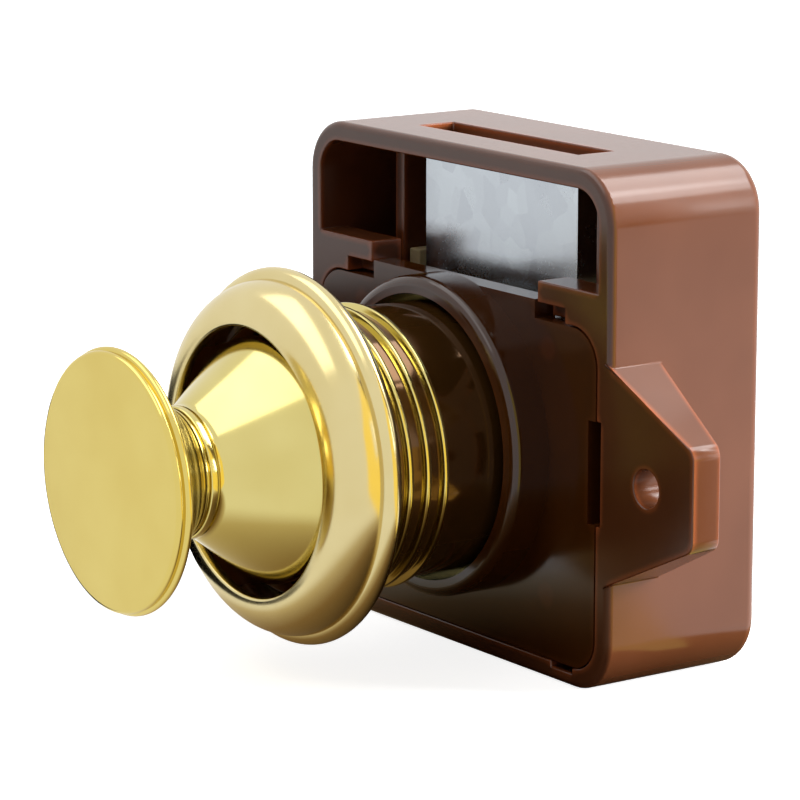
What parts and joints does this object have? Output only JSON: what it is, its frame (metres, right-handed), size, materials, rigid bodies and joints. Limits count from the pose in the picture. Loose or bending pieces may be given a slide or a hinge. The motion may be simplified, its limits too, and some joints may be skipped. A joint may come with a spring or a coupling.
{
  "type": "push button cabinet lock",
  "caption": "Push button cabinet lock: a gold knob pushed into a threaded sleeve drives a flat steel bolt up through the top slot of a brown moulded case with screw ears.",
  "frame": {"origin": "on the knob's axis in the front face of the case, midway between the ear holes", "axes": "-Y points out of the door along the knob's axis, +Z along the bolt's throw, +X to the right seen from the knob"},
  "size_m": [0.0612, 0.0473, 0.041],
  "materials": {
    "brown_abs": "glossy moulded ABS, reddish brown",
    "gold_plated_abs": "bright gold electroplate on moulded ABS",
    "galvanised_steel": "galvanised sheet, faintly mottled",
    "zinc_steel": "zinc plated",
    "spring_steel": "drawn spring steel",
    "natural_acetal": "natural moulded acetal",
    "black_acetal": "black moulded acetal"
  },
  "bodies": {
    "case": {"case": "brown_abs", "front_plate": "brown_abs", "sleeve": "gold_plated_abs", "sleeve_screws": "zinc_steel", "guide_disc": "black_acetal", "catch_pivot": "zinc_steel", "return_spring": "spring_steel"},
    "rosette": {"rosette": "gold_plated_abs"},
    "knob": {"knob_cap": "gold_plated_abs", "knob_head": "gold_plated_abs", "neck_ring": "gold_plated_abs", "knob_skirt": "gold_plated_abs", "knob_screw": "zinc_steel", "plunger": "natural_acetal", "drive_pin": "zinc_steel", "spring_washer": "zinc_steel"},
    "bolt": {"latch_bolt": "galvanised_steel", "bolt_carrier": "natural_acetal", "carrier_rivets": "zinc_steel"},
    "catch": {"catch_arm": "spring_steel"}
  },
  "joints": [
    {"name": "knob_slide", "type": "slide", "parent": "case", "child": "knob", "axis": [0, 1, 0], "range_m": [0, 0.0115], "stiffness_N_per_m": 300, "springref_m": -0.01, "deforming": ["return_spring"]},
    {"name": "bolt_slide", "type": "slide", "parent": "case", "child": "bolt", "axis": [0, 0, 1], "range_m": [0, 0.008]},
    {"name": "catch_swing", "type": "hinge", "parent": "case", "child": "catch", "pos_m": [0, -0.00095, 0.0079], "axis": [0, 1, 0], "range_deg": [0, 48.18]},
    {"name": "rosette_adjust", "type": "slide", "parent": "case", "child": "rosette", "axis": [0, 1, 0], "range_m": [0, 0.0022]}
  ],
  "couplings": [
    {"joint": "bolt_slide", "follows": "knob_slide", "ratio": 0.69565}
  ]
}
